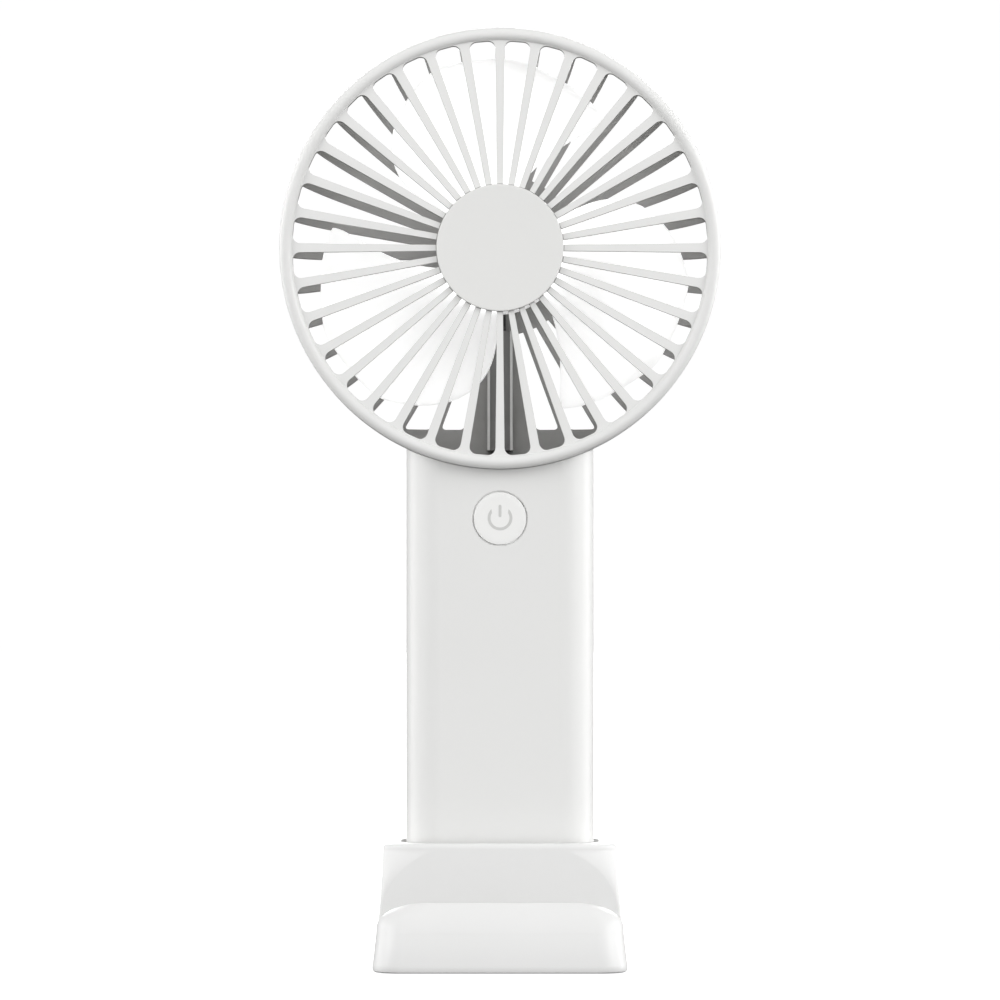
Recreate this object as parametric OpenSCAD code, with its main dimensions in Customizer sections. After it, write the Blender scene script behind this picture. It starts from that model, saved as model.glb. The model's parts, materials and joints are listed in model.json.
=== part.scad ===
// Handheld electric fan standing in its phone-holder dock.
// Origin: centre of the footprint, on the table. +Z up, the air blows towards -Y.

/* [Head] */
// Outer diameter of the fan head
head_d = 100; // [94:1:106]
// Height of the head's centre above the table
head_h = 162.4; // [158:0.1:168]
// Number of ribs in each guard
rib_count = 36; // [30:2:40]
// Width of a front rib at the rim
rib_w = 2.1; // [1.8:0.05:2.2]
// Width of a front rib at the badge
rib_root_w = 1.35; // [1.2:0.05:1.6]
// Width of a rear rib
rear_rib_w = 2.1; // [1.6:0.1:2.4]
// Diameter of the round badge in the middle of the front grille
badge_d = 28.8; // [28:0.1:32]
// Depth of the rear guard behind the head ring
bowl_depth = 15; // [15:0.5:18]

/* [Impeller] */
// Number of blades
blade_count = 3; // [3:1:3]
// Radius of the blade tips
tip_r = 43.8; // [42:0.1:44.5]
// Outer radius of the impeller's hub
hub_r = 14.2; // [14:0.1:14.6]
// Thickness of a blade
blade_t = 1.2; // [1:0.1:1.6]

/* [Handle] */
// Width of the handle
handle_w = 42.6; // [42:0.1:45]
// Depth of the handle, front to back
handle_depth = 25; // [25:0.1:27]
// Radius of the handle's upright edges
handle_r = 8; // [5:0.5:9]
// Wall thickness of the handle's shells
wall = 2; // [1.8:0.1:2.2]
// Height of the power button's centre
button_h = 101.2; // [100:0.1:102]
// Diameter of the power button
button_d = 12.2; // [11:0.1:12.6]
// Gap round the power button
button_gap = 0.2; // [0.1:0.05:0.3]

/* [Dock] */
// Width of the dock at the table
dock_w = 57; // [56:0.5:60]
// Depth of the dock, front to back
dock_depth = 60; // [60:0.5:62]
// Height of the collar round the handle
collar_h = 27.8; // [27:0.1:30]
// Height of the phone slot's floor
slot_floor = 9.6; // [9.2:0.1:10.2]
// Height of the front lip
lip_h = 15.4; // [15:0.1:17]
// Front of the phone slot, measured forwards from the origin
slot_front = 21.5; // [20:0.1:22]
// Back of the phone slot, measured forwards from the origin
slot_back = 8.6; // [8.2:0.1:9]
// Sliding gap between the handle and its socket
socket_gap = 0.35; // [0.3:0.05:0.5]

/* [Hidden] */
$fn = 64;
eps = 0.01;
head_r = head_d / 2;
badge_r = badge_d / 2;
pitch = 360 / rib_count;

// Head depths, positive towards the front, measured from the head ring's front edge
grille_front = 6;
plate_front = 5;
plate_back = 3;
ring_back = -5;
bowl_back = ring_back - bowl_depth;
guard_t = 2;
slot_out_r = head_r - 3;
slot_corner = 2.1;
rim_in_r = head_r - 1.7;
neck_flat = 40.4;
duct_w = 5.8;
duct_rise = 2.6;
duct_y = -bowl_back - guard_t - duct_rise + 0.4;
duct_half = pitch;
plate_r = 17.6;

// Motor
cup_r = 12.9;
cup_wall = 0.8;
magnet_t = 1.2;
stator_r = 10.4;
tube_r = 3.5;
bearing_r = 2.5;
bearing_l = 2.3;
shaft_r = 1;
stator_back = -9;
stator_front = -4.5;
tooth_count = 9;
flange_t = 1.2;
screw_r = 0.7;
running_gap = 0.03;

// Handle
handle_y = 10;
front_y = handle_y - handle_depth / 2;
back_y = handle_y + handle_depth / 2;
socket_floor = 8.5;
cap_t = 2;
shell_base = socket_floor + cap_t;
back_top = 120;
neck_screw = [12, 113];
mid_screw = [13.3, 82.3];
board_y = 9;
board_t = 1.2;
board_screw = [14, 103];
board_base = 85;
board_top = 107.5;
port_h = 91;
port_w = 8.9;
port_t = 3.3;
port_flat = (port_w - port_t) / 2;
light_x = 9.5;
cell_r = 9.1;
cell_base = 14.2;
cell_l = 65;
cell_x = 9.3;

// Dock
pad_t = 1.6;
dock_base = 0.3;
base_t = 2.6;
floor_t = 2;
dock_back = dock_depth / 2;
rim_gap = 1.3;
lip_flat = 16.7;
lip_end = 10.5;

// ---- Shared shapes ----

// Puts face-on drawings on the head's axis: X stays right, Y becomes up, Z points to the front
module on_head() {
    translate([0, 0, head_h]) rotate([90, 0, 0]) children();
}

// A ring or disc on the head's axis, between two depths
module ring(r_out, r_in, back, front) {
    on_head() translate([0, 0, back]) difference() {
        cylinder(r = r_out, h = front - back);
        if (r_in > 0) translate([0, 0, -1]) cylinder(r = r_in, h = front - back + 2);
    }
}

// The three places of the motor's screws, in the face-on frame
module on_screw_circle() {
    for (a = [30, 150, 270]) translate([5.8 * cos(a), 5.8 * sin(a), 0]) children();
}

module on_motor_screws() {
    on_head() on_screw_circle() children();
}

// A cylinder along Y, from y0 to y1
module rod_y(x, z, r, y0, y1) {
    translate([x, y0, z]) rotate([-90, 0, 0]) cylinder(r = r, h = y1 - y0);
}

module box(low, high) {
    translate(low) cube(high - low);
}

// A rectangle with round corners, centred on the handle's axis
module handle_plan(w, d, r) {
    translate([0, handle_y]) {
        square([w - 2 * r, d], center = true);
        square([w, d - 2 * r], center = true);
        for (x = [-1, 1], y = [-1, 1])
            translate([x * (w / 2 - r), y * (d / 2 - r)]) circle(r = r);
    }
}

// The handle's outline grown by a margin, between two heights
module handle_block(margin, low, high) {
    translate([0, 0, low]) linear_extrude(high - low)
        handle_plan(handle_w + 2 * margin, handle_depth + 2 * margin, handle_r + margin);
}

function arc(cx, cy, rx, ry, a0, a1, n) =
    [for (i = [0:n]) let (a = a0 + (a1 - a0) * i / n) [cx + rx * cos(a), cy + ry * sin(a)]];

// One opening between two ribs, lying along +X, as wide as the pitch leaves
function slot_edge(r, w) = r * sin(pitch / 2) - w / 2 / cos(pitch / 2);
function slot_points(r_in, r_out, w_in, w_out, corner) =
    let (c = min(corner, slot_edge(r_out, w_out) * 0.7), seat = r_out - c,
         side = slot_edge(seat, w_out) - c * (1 - sin(pitch / 2)))
    concat(
        [[r_in, -slot_edge(r_in, w_in)]],
        arc(seat, -side, c, c, -90 + pitch / 2, 0, 4),
        arc(seat, side, c, c, 0, 90 - pitch / 2, 4),
        [[r_in, slot_edge(r_in, w_in)]]);

// A flat lead in a plane of constant x: its route is given as [y, z] points
function step(p, i) = let (d = p[min(i + 1, len(p) - 1)] - p[max(i - 1, 0)]) d / norm(d);
module lead(route, x, r) {
    sides = 8;
    n = len(route);
    points = [for (i = [0:n - 1]) let (d = step(route, i)) for (k = [0:sides - 1])
        let (a = 360 * k / sides)
        [x + r * cos(a), route[i][0] - d[1] * r * sin(a), route[i][1] + d[0] * r * sin(a)]];
    around = [for (i = [0:n - 2], k = [0:sides - 1])
        let (next = (k + 1) % sides)
        [i * sides + k, i * sides + next, (i + 1) * sides + next, (i + 1) * sides + k]];
    first = [for (k = [sides - 1:-1:0]) k];
    last = [for (k = [0:sides - 1]) (n - 1) * sides + k];
    polyhedron(points, concat(around, [first, last]), convexity = 4);
}

// ---- Head ----

// Outer profile of the rear guard, from the head ring back to its flat rear face
bowl_edge_r = head_r - 0.4;
bowl_flat_r = 38;
function bowl_arc(r_edge, depth) =
    arc(bowl_flat_r, ring_back, r_edge - bowl_flat_r, depth, 0, -90, 8);

// Everything that the head fills, grown by a margin
module head_envelope(margin) {
    on_head() rotate_extrude() polygon(concat(
        [[0, grille_front + 2], [head_r + margin, grille_front + 2], [head_r + margin, ring_back - margin]],
        bowl_arc(bowl_edge_r + margin, bowl_depth + margin),
        [[0, bowl_back - margin]]));
}

module front_grille() {
    color("whitesmoke") on_head() {
        difference() {
            union() {
                rotate_extrude() polygon(concat(
                    [[slot_out_r, plate_back], [slot_out_r, grille_front - 1.4]],
                    arc(head_r - 1.5, grille_front - 1.5, -1.5, 1.5, 10, 90, 5),
                    arc(head_r - 1.5, grille_front - 1.5, 1.5, 1.5, 90, 0, 6),
                    [[head_r, 0], [rim_in_r, 0], [rim_in_r, plate_back - 1]]));
                translate([0, 0, plate_back]) cylinder(r = slot_out_r + 0.5, h = plate_front - plate_back);
            }
            for (i = [0:rib_count - 1])
                rotate(90 + (i + 0.5) * pitch)
                    translate([0, 0, plate_back - 1]) linear_extrude(plate_front - plate_back + 2)
                        polygon(slot_points(13.9, slot_out_r, rib_root_w, rib_w, slot_corner));
            translate([0, 0, plate_front - 0.7]) cylinder(r = badge_r + 0.1, h = 2);
        }
    }
}

module center_badge() {
    color("white") ring(badge_r, 0, plate_front - 0.7, grille_front);
}

// White rim of the head: the grille snaps into its front, the rear guard seats on its back
module head_ring() {
    color("whitesmoke") ring(head_r, rim_in_r + eps, ring_back, -eps);
}

module guard_slots() {
    for (i = [0:rib_count - 1]) {
        a = 90 + (i + 0.5) * pitch;
        if (abs(a - 270) > duct_half)
            rotate(a) translate([0, 0, bowl_back - 1]) linear_extrude(bowl_depth - 0.5)
                polygon(slot_points(plate_r + 1, head_r + 4, rear_rib_w, rear_rib_w, 1));
    }
}

// Room inside the rear guard, less a margin
module bowl_room(margin) {
    on_head() rotate_extrude() polygon(concat(
        [[0, bowl_back + guard_t + margin]],
        arc(bowl_flat_r, ring_back, rim_in_r - bowl_flat_r - margin, bowl_depth - guard_t - margin,
            -90, 0, 8),
        [[rim_in_r - margin, 0], [0, 0]]));
}

// Rear guard: a ribbed bowl with the motor plate in its middle and a spigot for the handle below
module rear_guard() {
    neck_top = head_h - neck_flat;
    color("dimgray") difference() {
        union() {
            on_head() difference() {
                rotate_extrude() polygon(concat(
                    [[0, bowl_back + guard_t]],
                    arc(bowl_flat_r, ring_back, rim_in_r - bowl_flat_r, bowl_depth - guard_t, -90, 0, 8),
                    bowl_arc(bowl_edge_r, bowl_depth),
                    [[0, bowl_back]]));
                intersection() {
                    guard_slots();
                    translate([-60, -neck_flat, bowl_back - 2]) cube([120, 120, bowl_depth + 5]);
                }
            }
            intersection() {
                box([-17, 6, 109], [17, 19.5, neck_top]);
                difference() {
                    box([-30, 0, 100], [30, 30, 130]);
                    head_envelope(-guard_t / 2);
                }
            }
        }
        on_motor_screws() translate([0, 0, bowl_back + 0.4]) cylinder(r = screw_r, h = 3);
        // Passage for the motor leads
        box([-4, 9, 100], [4, 17.9, 122]);
        for (x = [-1, 1]) rod_y(x * neck_screw[0], neck_screw[1], 0.85, 10, 20);
    }
}

// Channel over the motor leads, from the motor plate down the guard's curve
module wire_duct_cover() {
    top = head_h - plate_r;
    low = 117;
    bend = head_h - bowl_flat_r;
    color("gray") difference() {
        intersection() {
            box([-duct_w / 2, 5, low], [duct_w / 2, 30, top]);
            bowl_room(eps);
        }
        bowl_room(duct_rise);
        // Room for the leads
        box([-duct_w / 2 + 0.8, duct_y + 0.55, bend - 3.4], [duct_w / 2 - 0.8, 30, top + 1]);
        box([-duct_w / 2 + 0.8, duct_y + 0.1, low - 1], [duct_w / 2 - 0.8, 30, bend - 2.9]);
        intersection() {
            box([-duct_w / 2 + 0.6, 0, low - 1], [duct_w / 2 - 0.6, 30, top + 1]);
            bowl_room(duct_rise - 0.4);
        }
    }
}

// ---- Impeller and motor ----

// Angles of a blade's two edges at a radius, seen from the front
function front_edge(r) =
    170 + 26 * pow(max(0, 40 - r) / 26, 1.3) + 34 * pow(max(0, r - tip_r + 6.3) / 6.3, 2);
function rear_edge(r) = 268.5 - 38 * pow(max(0, r - 14) / 29.8, 3);
// Depth of the blade's middle surface: its swept-forward edge is at the back
function blade_z(r, u) =
    let (out = (r - 14) / 30)
    -9.2 + 9.6 * (u + 0.18 * sin(180 * u)) * (1 - 0.2 * out) + 2 * out * (1 - u);

module blade() {
    nu = 9;
    nv = 7;
    root = hub_r - 0.8;
    grid = [for (side = [-0.5, 0.5], v = [0:nv], u = [0:nu])
        let (r = root + (tip_r - root) * v / nv, t = u / nu,
             a = front_edge(r) + (rear_edge(r) - front_edge(r)) * t,
             taper = 0.45 + 0.55 * sin(180 * min(1, max(0, t))))
        [r * cos(a), r * sin(a), blade_z(r, t) + side * blade_t * taper]];
    per = nu + 1;
    half = per * (nv + 1);
    back = [for (v = [0:nv - 1], u = [0:nu - 1]) let (p = v * per + u) each
        [[p, p + per + 1, p + 1], [p, p + per, p + per + 1]]];
    front = [for (f = back) [f[2] + half, f[1] + half, f[0] + half]];
    rim = concat([for (u = [0:nu - 1]) u], [for (v = [0:nv - 1]) v * per + nu],
        [for (u = [nu:-1:1]) nv * per + u], [for (v = [nv:-1:1]) v * per]);
    sides = [for (i = [0:len(rim) - 1]) let (p = rim[i], q = rim[(i + 1) % len(rim)]) each
        [[p, q, q + half], [p, q + half, p + half]]];
    polyhedron(grid, concat(back, front, sides), convexity = 6);
}

module impeller() {
    color("white") on_head() {
        difference() {
            translate([0, 0, -10.8]) cylinder(r = hub_r, h = 12.2);
            translate([0, 0, -11.8]) cylinder(r = cup_r, h = 11.2);
            translate([0, 0, -1]) cylinder(r = shaft_r + 0.6, h = 1.6);
        }
        difference() {
            for (i = [0:blade_count - 1]) rotate(360 / blade_count * i) blade();
            translate([0, 0, -20]) cylinder(r = hub_r - 0.4, h = 30);
        }
    }
}

module rotor_cup() {
    color("silver") on_head() difference() {
        translate([0, 0, -10.5]) cylinder(r = cup_r, h = 9.9);
        translate([0, 0, -11.5]) cylinder(r = cup_r - cup_wall, h = 10.1);
        translate([0, 0, -3]) cylinder(r = shaft_r, h = 4);
    }
}

module ring_magnet() {
    color("darkslategray") ring(cup_r - cup_wall, cup_r - cup_wall - magnet_t, -10.2, -3.2);
}

module motor_shaft() {
    color("silver") on_head() difference() {
        translate([0, 0, -17.9]) cylinder(r = shaft_r, h = 18.1);
        translate([0, 0, -17.6]) difference() {
            cylinder(r = shaft_r + 1, h = 0.4);
            translate([0, 0, -1]) cylinder(r = shaft_r - 0.25, h = 3);
        }
    }
}

module shaft_clip() {
    color("dimgray") on_head() translate([0, 0, -17.55]) difference() {
        cylinder(r = 2, h = 0.3);
        translate([0, 0, -1]) cylinder(r = shaft_r - 0.25, h = 3);
        translate([-0.5, 0, -1]) cube([1, 5, 3]);
    }
}

module bearing_tube() {
    color("goldenrod") on_head() difference() {
        union() {
            translate([0, 0, bowl_back + guard_t]) cylinder(r = tube_r, h = 14.9);
            translate([0, 0, bowl_back + guard_t]) cylinder(r = 8, h = flange_t);
        }
        translate([0, 0, bowl_back]) cylinder(r = bearing_r, h = 20);
        on_screw_circle() translate([0, 0, bowl_back]) cylinder(r = screw_r + 0.15, h = 6);
    }
}

module bearing(front) {
    color("gainsboro") ring(bearing_r, shaft_r + running_gap, front - bearing_l, front);
}

module front_bearing() {
    bearing(-3.3);
}

module rear_bearing() {
    bearing(-14.9);
}

module tooth_rows(low, high) {
    for (i = [0:tooth_count - 1]) rotate(360 / tooth_count * i)
        translate([0, 0, low]) linear_extrude(high - low) children();
}

module stator_core() {
    color("slategray") on_head() difference() {
        intersection() {
            translate([0, 0, stator_back]) cylinder(r = stator_r, h = stator_front - stator_back);
            union() {
                translate([0, 0, stator_back]) cylinder(r = 5, h = stator_front - stator_back);
                tooth_rows(stator_back, stator_front) translate([0, -0.8]) square([12, 1.6]);
                tooth_rows(stator_back, stator_front) translate([9.3, -2.7]) square([3, 5.4]);
            }
        }
        translate([0, 0, stator_back - 1]) cylinder(r = tube_r, h = 8);
    }
}

module stator_coils() {
    color("chocolate") on_head() difference() {
        tooth_rows(stator_back - 0.7, stator_front + 0.7) translate([5.6, -1.7]) square([3.4, 3.4]);
        tooth_rows(stator_back, stator_front) translate([5, -0.85]) square([5, 1.7]);
    }
}

module motor_board() {
    color("seagreen") ring(stator_r, tube_r + 0.1, -12.6, -11.6);
}

module motor_screws() {
    color("silver") on_motor_screws() {
        translate([0, 0, bowl_back + 0.5]) cylinder(r = screw_r, h = 3);
        translate([0, 0, bowl_back + guard_t + flange_t]) cylinder(r = 1.4, h = 0.8);
    }
}

module motor_leads() {
    top = head_h - 9;
    route = [[13.2, top], [13.3, top - 3], [14.6, top - 5.4], [16.8, top - 7.4], [17.1, top - 11],
        [17.1, top - 27], [16.95, top - 30], [17, top - 33], [16.4, top - 36], [14.8, top - 39.5],
        [12.2, top - 42.5], [10.9, top - 44.5], [10.8, top - 47]];
    color("firebrick") lead(route, -0.8, 0.55);
    color("black") lead(route, 0.8, 0.55);
}

// ---- Handle ----

module shell_walls(low, high) {
    difference() {
        handle_block(0, low, high);
        handle_block(-wall, low - 1, high + 1);
    }
}

module handle_front_shell() {
    color("whitesmoke") difference() {
        union() {
            difference() {
                shell_walls(shell_base, back_top);
                box([-40, handle_y, 0], [40, 40, 200]);
            }
            // Pillars for the screws
            for (x = [-1, 1]) {
                rod_y(x * mid_screw[0], mid_screw[1], 2.6, front_y + 1, 17);
                rod_y(x * board_screw[0], board_screw[1], 2.2, front_y + 1, board_y);
            }
            // Collar that guides the button
            difference() {
                rod_y(0, button_h, button_d / 2 + 2.6, front_y + 1, 2.2);
                rod_y(0, button_h, button_d / 2 + 1.4, front_y + wall - 0.02, 4);
            }
        }
        head_envelope(0.1);
        rod_y(0, button_h, button_d / 2 + button_gap, front_y - 1, 3);
        for (x = [-1, 1]) {
            rod_y(x * mid_screw[0], mid_screw[1], 0.85, 8, 18);
            rod_y(x * board_screw[0], board_screw[1], 1, board_y - 4.2, board_y + 1);
        }
    }
}

module handle_rear_shell() {
    color("whitesmoke") difference() {
        union() {
            difference() {
                shell_walls(shell_base, back_top);
                box([-40, -20, 0], [40, handle_y, 200]);
                // Round top corners behind the head
                for (x = [-1, 1]) translate([x * (handle_w / 2 - 6), 0, back_top - 6]) difference() {
                    translate([x > 0 ? 0 : -10, 19, 0]) cube([10, 10, 10]);
                    rod_y(0, 0, 6, 15, 30);
                }
            }
            for (x = [-1, 1]) {
                rod_y(x * mid_screw[0], mid_screw[1], 2.9, 17, back_y - 1);
                rod_y(x * neck_screw[0], neck_screw[1], 2.9, 19.5, back_y - 1);
            }
        }
        head_envelope(0.1);
        for (x = [-1, 1], p = [mid_screw, neck_screw]) {
            rod_y(x * p[0], p[1], 1.15, 10, 30);
            rod_y(x * p[0], p[1], 2.1, back_y - 1.6, 30);
        }
        // Opening of the charging socket, with a round end on each side
        for (x = [-1, 1]) rod_y(x * port_flat, port_h, port_t / 2 + 0.25, 15, 30);
        box([-port_flat, 15, port_h - port_t / 2 - 0.25], [port_flat, 30, port_h + port_t / 2 + 0.25]);
        rod_y(light_x, port_h, 0.9, 15, 30);
    }
}

module handle_bottom_cap() {
    color("whitesmoke") {
        handle_block(0, socket_floor, shell_base);
        difference() {
            handle_block(-wall - 0.1, shell_base - eps, shell_base + 3);
            handle_block(-wall - 1.6, shell_base, shell_base + 4);
        }
    }
}

module handle_screws() {
    color("silver") for (x = [-1, 1], p = [mid_screw, neck_screw]) difference() {
        union() {
            rod_y(x * p[0], p[1], 1.9, back_y - 1.6, back_y - 0.4);
            rod_y(x * p[0], p[1], 0.85, 10.5, back_y - 1.5);
        }
        for (a = [0, 90]) translate([x * p[0], 0, p[1]]) rotate([0, a, 0])
            box([-1.2, back_y - 0.9, -0.25], [1.2, back_y, 0.25]);
    }
}

// ---- Button and electronics ----

module power_button() {
    color("white") {
        rod_y(0, button_h, button_d / 2, front_y, front_y + 2.3);
        rod_y(0, button_h, button_d / 2 + 0.9, front_y + wall + 0.2, front_y + wall + 1.1);
        rod_y(0, button_h, 2, front_y + wall + 1, 2);
    }
}

module switch_plunger() {
    color("dimgray") rod_y(0, button_h, 1.7, 2, 6.4);
}

module switch_body() {
    color("black") difference() {
        box([-3, 5.4, button_h - 3], [3, board_y, button_h + 3]);
        rod_y(0, button_h, 1.8, 5, 7.4);
    }
}

module main_board() {
    color("seagreen") difference() {
        box([-17, board_y, board_base], [17, board_y + board_t, board_top]);
        for (x = [-1, 1]) rod_y(x * board_screw[0], board_screw[1], 1.1, 5, 15);
    }
}

module board_parts() {
    color("dimgray") {
        box([-13, board_y - 1.2, 89], [-8, board_y, 94]);
        box([6, board_y - 1, 88], [11, board_y, 92]);
        box([-11.5, board_y + board_t, 96], [-5.5, board_y + board_t + 3, 102]);
        box([6, board_y + board_t, 97], [8, board_y + board_t + 1, 100.5]);
        box([10, board_y + board_t, 97], [12, board_y + board_t + 1, 100.5]);
        box([light_x - 0.8, board_y + board_t, port_h - 0.8],
            [light_x + 0.8, board_y + board_t + 0.8, port_h + 0.8]);
    }
}

module board_screws() {
    color("silver") for (x = [-1, 1]) {
        rod_y(x * board_screw[0], board_screw[1], 1, board_y - 4, board_y + board_t + eps);
        rod_y(x * board_screw[0], board_screw[1], 1.8, board_y + board_t, board_y + board_t + 1);
    }
}

module charging_socket() {
    back = back_y - 0.3;
    front = board_y + board_t;
    color("silver") difference() {
        union() {
            for (x = [-1, 1]) rod_y(x * port_flat, port_h, port_t / 2, front, back);
            box([-port_flat, front, port_h - port_t / 2], [port_flat, back, port_h + port_t / 2]);
        }
        for (x = [-1, 1]) rod_y(x * port_flat, port_h, port_t / 2 - 0.3, back - 6.2, back + 1);
        box([-port_flat, back - 6.2, port_h - port_t / 2 + 0.3],
            [port_flat, back + 1, port_h + port_t / 2 - 0.3]);
    }
    color("black") box([-3.3, back - 6.3, port_h - 0.35], [3.3, back - 1.2, port_h + 0.35]);
}

module charge_light() {
    color("aliceblue") {
        rod_y(light_x, port_h, 0.8, 19.5, back_y - 0.1);
        rod_y(light_x, port_h, 1.6, board_y + board_t + 0.9, 19.6);
    }
}

module cell(x) {
    color("steelblue") translate([x, handle_y, cell_base]) {
        cylinder(r = cell_r, h = cell_l - 1);
        cylinder(r = 3, h = cell_l);
    }
}

module battery_cell_left() {
    cell(-cell_x);
}

module battery_cell_right() {
    cell(cell_x);
}

module battery_strips() {
    color("silver") {
        box([-14, handle_y - 5, cell_base - 0.3], [14, handle_y + 2.5, cell_base]);
        box([-14, handle_y - 2.5, cell_base + cell_l], [14, handle_y + 2.5, cell_base + cell_l + 0.3]);
    }
}

module battery_foam() {
    color("darkgray") {
        difference() {
            box([-15, handle_y - 4, shell_base + eps], [15, handle_y + 4, cell_base]);
            box([-14.1, handle_y - 6, cell_base - 0.4], [14.1, handle_y + 2.6, 20]);
        }
        box([-9, handle_y - 4, cell_base + cell_l + 0.3], [1, handle_y + 4, cell_base + cell_l + 2.4]);
    }
}

module positive_lead() {
    top = cell_base + cell_l + 0.3;
    route = [[10, top + 0.5], [9.6, top + 2], [8.2, top + 5], [8, top + 8], [8, top + 11]];
    color("firebrick") lead(route, 4.5, 0.6);
}

module negative_lead() {
    route = [[4.3, cell_base + 0.2], [2.6, cell_base + 1.6], [1.8, cell_base + 4], [1.8, 40], [1.8, 70],
        [2.6, 80], [5.5, 84.5], [8, 88], [8.2, 91]];
    color("black") lead(route, 0, 0.6);
}

// ---- Dock ----

// Half width and front edge of the dock at a height
function dock_half(z) = dock_w / 2 - 2.1 * (1 - pow(max(0, 1 - z / collar_h), 1.6));
function dock_front(z) =
    -slot_front - (dock_back - slot_front) * sqrt(max(0, 1 - pow(z / (lip_h + 0.2), 2)));
function dock_rear(z) = dock_back - 1.5 * z / collar_h;

// Plan outline with elliptical front corners and round rear corners
function dock_plan(half, front, rear, a, b, rr) = concat(
    arc(half - a, front + b, a, b, -90, 0, 6),
    rr > 0 ? arc(half - rr, rear - rr, rr, rr, 0, 90, 6) : [[half, rear]],
    rr > 0 ? arc(-half + rr, rear - rr, rr, rr, 90, 180, 6) : [[-half, rear]],
    arc(-half + a, front + b, a, b, 180, 270, 6));

module slab(z, half, front, rear, a, b, rr) {
    translate([0, 0, z]) linear_extrude(eps) polygon(dock_plan(half, front, rear, a, b, rr));
}

module tray() {
    hull() {
        slab(dock_base, dock_half(0) - 0.6, dock_front(0) + 0.6, dock_rear(0) - 0.6, 6.5, 6.5, 9);
        for (z = [1.2, 6, slot_floor])
            slab(z, dock_half(z), dock_front(z), dock_rear(z), 6.5, 6.5, 9);
    }
}

// The lip's outline narrows in a quarter ellipse towards its top edge
function lip_half(z) =
    let (up = max(0, z - lip_end) / (lip_h - lip_end))
    lip_flat + (dock_half(z) - lip_flat) * sqrt(max(0, 1 - up * up));
module lip() {
    hull() for (z = [slot_floor - 0.5, lip_end, 12.5, 14, 15, lip_h]) {
        corner = min(6.4, 0.95 * (-slot_front - dock_front(z)));
        slab(z, lip_half(z), dock_front(z), -slot_front, 6, corner, 0);
    }
}

// The collar's front corners are cut back more and more towards the rim
function corner_cut(z) =
    let (u = min(1, max(0, (z - lip_end - 0.8) / 14.8)))
    10.4 * pow(u, 2.9);
module collar() {
    hull() for (t = [0, 0.3, 0.55, 0.73, 0.86, 0.94, 1]) {
        z = slot_floor - 0.5 + (collar_h - slot_floor + 0.5) * t;
        inset = t == 1 ? 0.9 : 0;
        slab(z - (t == 1 ? eps : 0), dock_half(z) - inset, -slot_back + inset, dock_rear(z) - inset,
            1 + corner_cut(z), 1 + 0.4 * corner_cut(z), 9);
    }
}

module dock_shell() {
    color("whitesmoke") difference() {
        union() {
            tray();
            lip();
            collar();
        }
        // Socket for the handle, a little wider at its rim
        handle_block(socket_gap, socket_floor, collar_h + 1);
        handle_block(rim_gap, collar_h - 1.5, collar_h + 1);
        // Hollow underneath
        translate([0, 0, -1]) linear_extrude(socket_floor - floor_t + 1)
            polygon(dock_plan(dock_w / 2 - 3, -dock_back + 3.5, dock_back - 3, 5, 5, 6));
    }
    color("whitesmoke") for (x = [-1, 1], y = [-18, 20])
        translate([x * 19, y, dock_base + base_t]) difference() {
            cylinder(r = 2.6, h = socket_floor - floor_t - dock_base - base_t + 0.1);
            translate([0, 0, -1]) cylinder(r = 0.8, h = 8);
        }
}

module dock_base_plate() {
    color("gainsboro") difference() {
        translate([0, 0, dock_base]) linear_extrude(base_t)
            polygon(dock_plan(dock_w / 2 - 3.1, -dock_back + 3.6, dock_back - 3.1, 4.9, 4.9, 5.9));
        translate([0, 0, -1]) linear_extrude(pad_t + 1)
            polygon(dock_plan(23, -24, 24.5, 5, 5, 5));
        for (x = [-1, 1], y = [-18, 20]) translate([x * 19, y, 0]) {
            cylinder(r = 1.1, h = 10);
            cylinder(r = 2, h = 2.3);
        }
    }
}

module dock_screws() {
    color("silver") for (x = [-1, 1], y = [-18, 20]) translate([x * 19, y, 0]) {
        translate([0, 0, pad_t + eps]) cylinder(r = 1.8, h = 0.65);
        translate([0, 0, pad_t + 0.5]) cylinder(r = 0.8, h = 3.6);
    }
}

module anti_slip_pad() {
    color("dimgray") linear_extrude(pad_t) polygon(dock_plan(22.8, -23.8, 24.3, 4.8, 4.8, 4.8));
}

dock_shell();
dock_base_plate();
dock_screws();
anti_slip_pad();
front_grille();
center_badge();
head_ring();
rear_guard();
wire_duct_cover();
impeller();
rotor_cup();
ring_magnet();
motor_shaft();
shaft_clip();
bearing_tube();
front_bearing();
rear_bearing();
stator_core();
stator_coils();
motor_board();
motor_screws();
motor_leads();
handle_front_shell();
handle_rear_shell();
handle_bottom_cap();
handle_screws();
power_button();
switch_plunger();
switch_body();
main_board();
board_parts();
board_screws();
charging_socket();
charge_light();
battery_cell_left();
battery_cell_right();
battery_strips();
battery_foam();
positive_lead();
negative_lead();
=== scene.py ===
"""Looks of a handheld electric fan that stands in its phone-holder dock."""

import json
import math

import bmesh
import bpy
from mathutils import Matrix, Vector


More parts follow.
